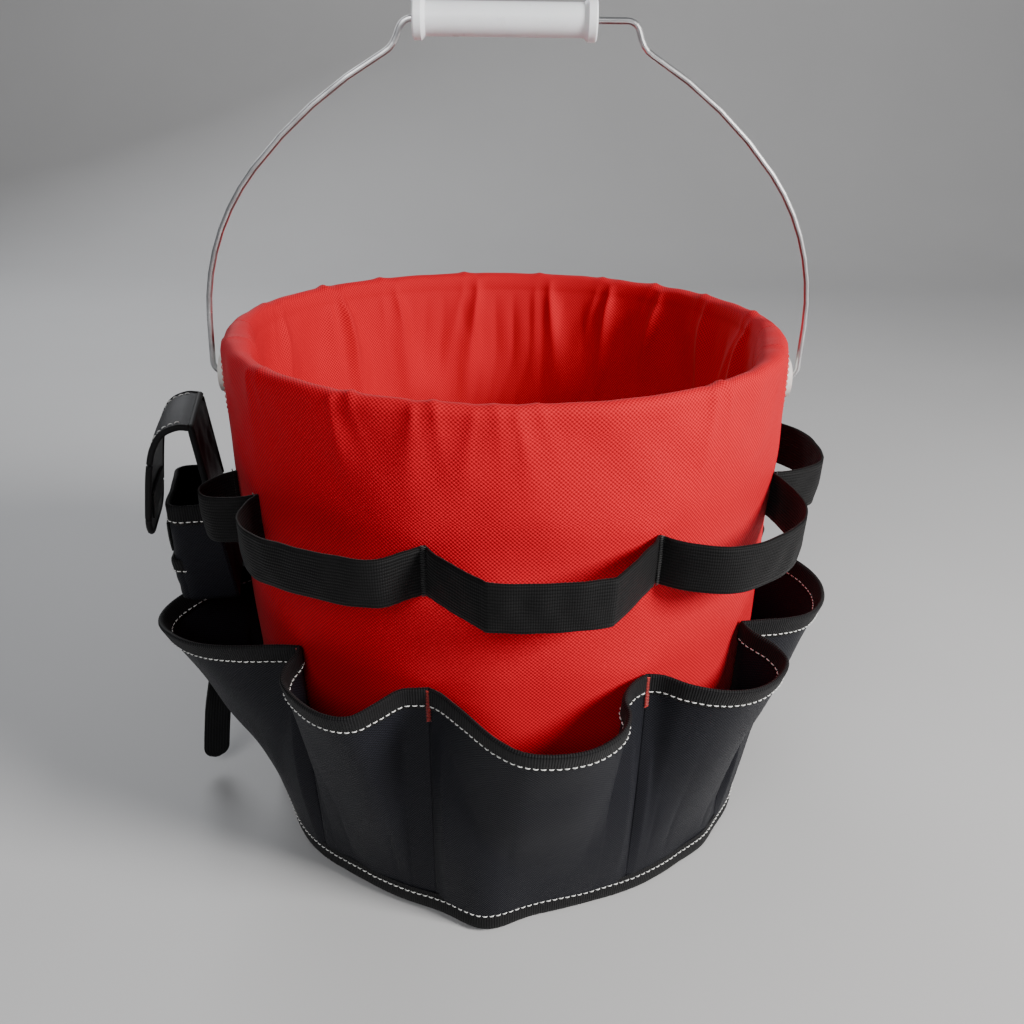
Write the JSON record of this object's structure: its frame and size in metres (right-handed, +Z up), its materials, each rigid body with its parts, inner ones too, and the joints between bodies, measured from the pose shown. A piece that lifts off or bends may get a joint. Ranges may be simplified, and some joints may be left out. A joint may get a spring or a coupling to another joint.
{
  "type": "bucket tool organizer",
  "caption": "Plastic pail with a wire bail, dressed in a red and black fabric organizer with outer pockets, elastic tool loops and a flap pouch.",
  "frame": {"origin": "centre of the pail's base, on the surface it stands on", "axes": "+Z up; X along the bail's pins; the front pockets face -Y"},
  "size_m": [0.3916, 0.382, 0.455],
  "materials": {
    "pail_plastic": "satin moulded white polyethylene",
    "bail_steel": "bright galvanised wire",
    "grip_plastic": "semi-gloss white plastic",
    "red_cloth": "red coated oxford weave",
    "pocket_cloth": "black ribbed oxford weave",
    "binding_tape": "black ribbed binding tape with white lockstitch",
    "elastic": "black ribbed elastic webbing",
    "webbing": "black woven webbing",
    "hook_loop": "black hook and loop tape",
    "red_thread": "red zigzag bar tacks",
    "black_thread": "black zigzag bar tacks"
  },
  "bodies": {
    "bucket": {"bucket_shell": "pail_plastic", "skirt_front": "red_cloth", "skirt_back": "red_cloth", "liner_front": "red_cloth", "liner_back": "red_cloth", "pocket_1": "pocket_cloth", "pocket_2": "pocket_cloth", "pocket_3": "pocket_cloth", "pocket_4": "pocket_cloth", "pocket_5": "pocket_cloth", "pocket_6": "pocket_cloth", "pocket_7": "pocket_cloth", "pocket_8": "pocket_cloth", "pocket_9": "pocket_cloth", "pocket_10": "pocket_cloth", "pocket_binding_1": "binding_tape", "pocket_binding_2": "binding_tape", "pocket_binding_3": "binding_tape", "pocket_binding_4": "binding_tape", "pocket_binding_5": "binding_tape", "pocket_binding_6": "binding_tape", "pocket_binding_7": "binding_tape", "pocket_binding_8": "binding_tape", "pocket_binding_9": "binding_tape", "pocket_binding_10": "binding_tape", "elastic_loop_1": "elastic", "elastic_loop_2": "elastic", "elastic_loop_3": "elastic", "elastic_loop_4": "elastic", "elastic_loop_5": "elastic", "elastic_loop_6": "elastic", "elastic_loop_7": "elastic", "elastic_loop_8": "elastic", "elastic_loop_9": "elastic", "hem_binding": "binding_tape", "pocket_bartacks": "red_thread", "elastic_bartacks": "black_thread", "slot_hems": "red_cloth", "pouch_back": "pocket_cloth", "pouch_body": "pocket_cloth", "pouch_front_pocket": "pocket_cloth", "pouch_binding": "binding_tape", "pouch_loop_patch": "hook_loop", "side_strap": "webbing"},
    "bail": {"bail_wire": "bail_steel"},
    "grip": {"bail_grip": "grip_plastic"},
    "flap": {"pouch_flap": "pocket_cloth", "flap_hook_patch": "hook_loop"}
  },
  "joints": [
    {"name": "bail_hinge", "type": "hinge", "parent": "bucket", "child": "bail", "pos_m": [0, 0, 0.262], "axis": [1, 0, 0], "range_deg": [-80, 80]},
    {"name": "grip_spin", "type": "hinge", "parent": "bail", "child": "grip", "pos_m": [-0.002, 0, 0.44483], "axis": [1, 0, 0], "continuous": true},
    {"name": "flap_hinge", "type": "hinge", "parent": "bucket", "child": "flap", "pos_m": [-0.16933, -0.03291, 0.2495], "axis": [-0.1908, 0.9816, 0], "range_deg": [0, 90]}
  ]
}
